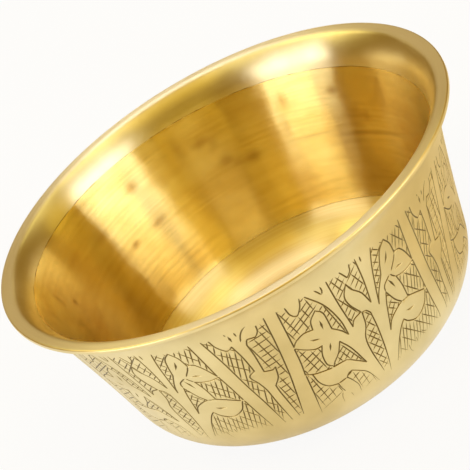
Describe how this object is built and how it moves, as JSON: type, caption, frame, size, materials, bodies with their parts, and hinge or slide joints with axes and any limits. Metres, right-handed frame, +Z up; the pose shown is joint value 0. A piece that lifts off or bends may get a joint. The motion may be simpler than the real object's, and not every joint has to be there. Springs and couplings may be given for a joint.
{
  "type": "offering bowl",
  "caption": "Round flared brass offering bowl with a flat-topped lip, a tapered wall with a rounded bottom and a flat face to stand on; holds flowers, water, grain or other offerings.",
  "frame": {"origin": "centre of the flat face that the bowl stands on", "axes": "+Z up along the bowl's axis, towards its mouth"},
  "size_m": [0.1, 0.1, 0.045],
  "materials": {
    "lip_brass": "turned and polished",
    "wall_brass": "satin outside, burnished inside",
    "base_brass": "burnished",
    "braze": "dull, darkened"
  },
  "bodies": {
    "root": {"lip_ring": "lip_brass", "lip_braze": "braze", "bowl_wall": "wall_brass", "base_braze": "braze", "base_plate": "base_brass"}
  },
  "joints": []
}
